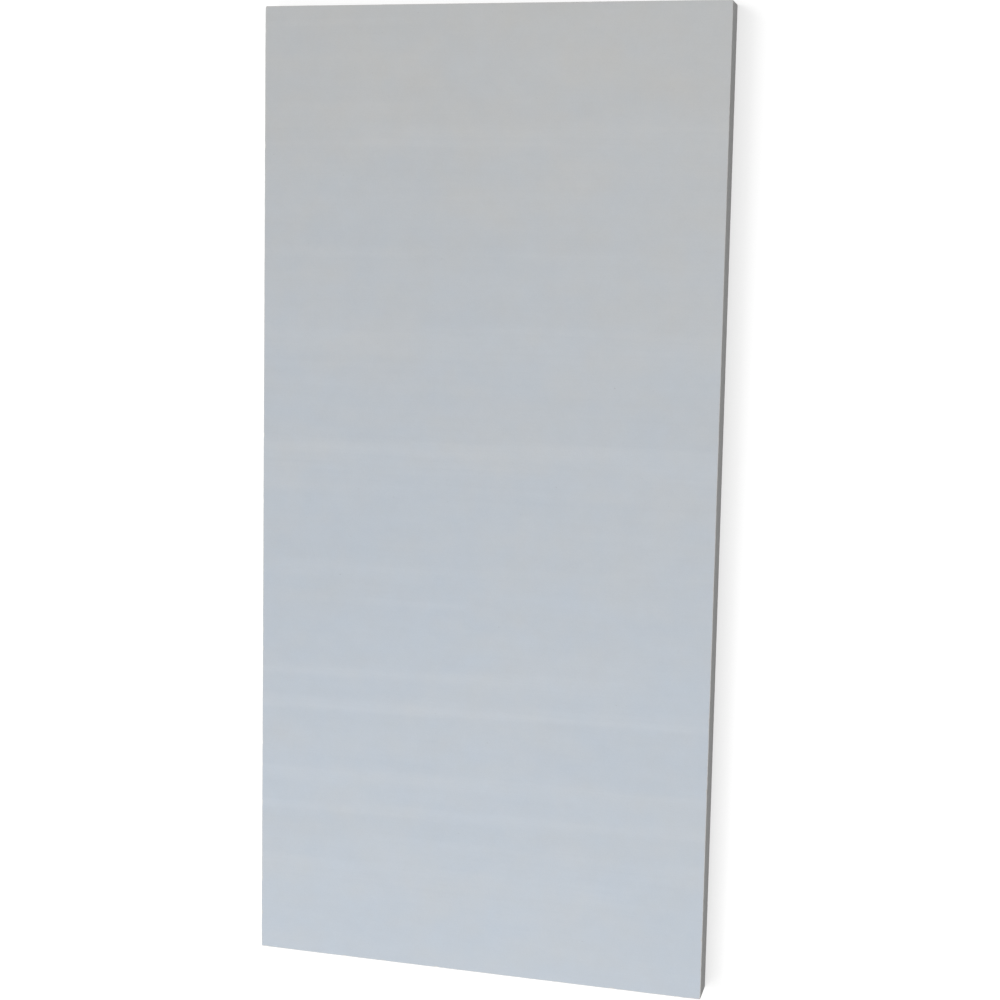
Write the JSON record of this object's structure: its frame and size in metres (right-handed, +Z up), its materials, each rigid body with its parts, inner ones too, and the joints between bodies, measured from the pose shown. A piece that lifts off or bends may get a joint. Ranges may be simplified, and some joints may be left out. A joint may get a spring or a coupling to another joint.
{
  "type": "calcium silicate board",
  "caption": "Flat rectangular calcium silicate insulation board with square sawn edges, for lining and insulating walls, ceilings and ducts.",
  "frame": {"origin": "middle of the underside, where the board lies on the floor", "axes": "+Z up through the thickness to the front face, +Y along the length, +X across the width"},
  "size_m": [0.6, 1.25, 0.04],
  "materials": {
    "calcium_silicate": "matt, fine-grained and faintly dusty, sanded on both broad faces and sawn on the four edges"
  },
  "bodies": {
    "root": {"board": "calcium_silicate"}
  },
  "joints": []
}
